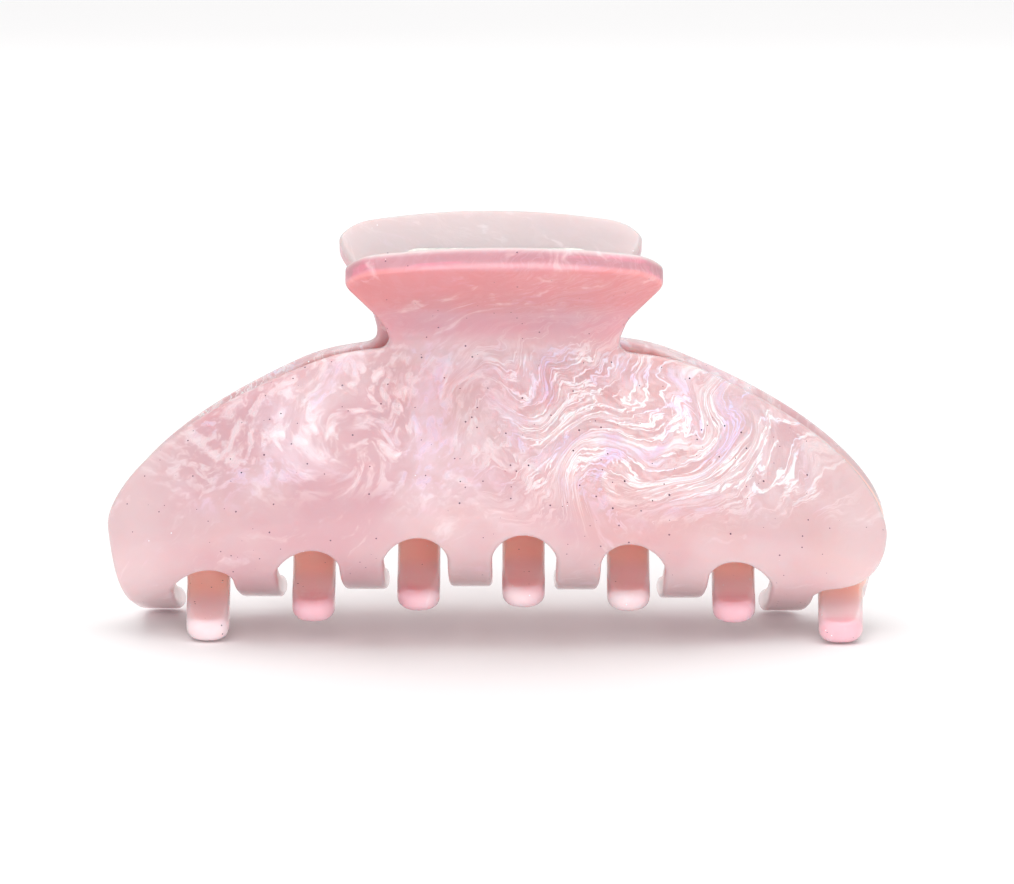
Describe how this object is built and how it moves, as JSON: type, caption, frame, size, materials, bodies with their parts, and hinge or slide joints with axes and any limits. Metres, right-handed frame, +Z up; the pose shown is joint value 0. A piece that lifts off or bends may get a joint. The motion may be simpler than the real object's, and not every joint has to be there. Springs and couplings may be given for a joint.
{
  "type": "claw clip",
  "caption": "Hair claw clip: two identical bowed shells with interleaved hooked teeth and flared thumb plates, joined at the waist by a sprung pin hinge",
  "frame": {"origin": "on the surface the closed clip stands on, midway between its ends and between its two halves", "axes": "+X along the clip's length and the hinge pin, +Y from the front half to the rear half, +Z up from the tooth tips to the thumb plates"},
  "size_m": [0.1006, 0.0406, 0.0524],
  "materials": {
    "acetate": "polished pearl pink cellulose acetate with white swirls and fine glitter",
    "plated_steel": "stamped sheet steel, bright nickel plate",
    "screw_steel": "bright nickel plate",
    "pin_steel": "drawn steel pin with formed heads",
    "spring_steel": "drawn spring wire"
  },
  "bodies": {
    "front_half": {"front_shell": "acetate", "front_leaf": "plated_steel", "front_screw_left": "screw_steel", "front_screw_right": "screw_steel", "hinge_pin": "pin_steel", "torsion_spring": "spring_steel"},
    "rear_half": {"rear_shell": "acetate", "rear_leaf": "plated_steel", "rear_screw_left": "screw_steel", "rear_screw_right": "screw_steel"}
  },
  "joints": [
    {"name": "jaw_hinge", "type": "hinge", "parent": "front_half", "child": "rear_half", "pos_m": [0, 0, 0.03829], "axis": [1, 0, 0], "range_deg": [0, 60], "stiffness_Nm_per_rad": 0.12, "springref_deg": -57.3, "deforming": ["torsion_spring"]}
  ]
}
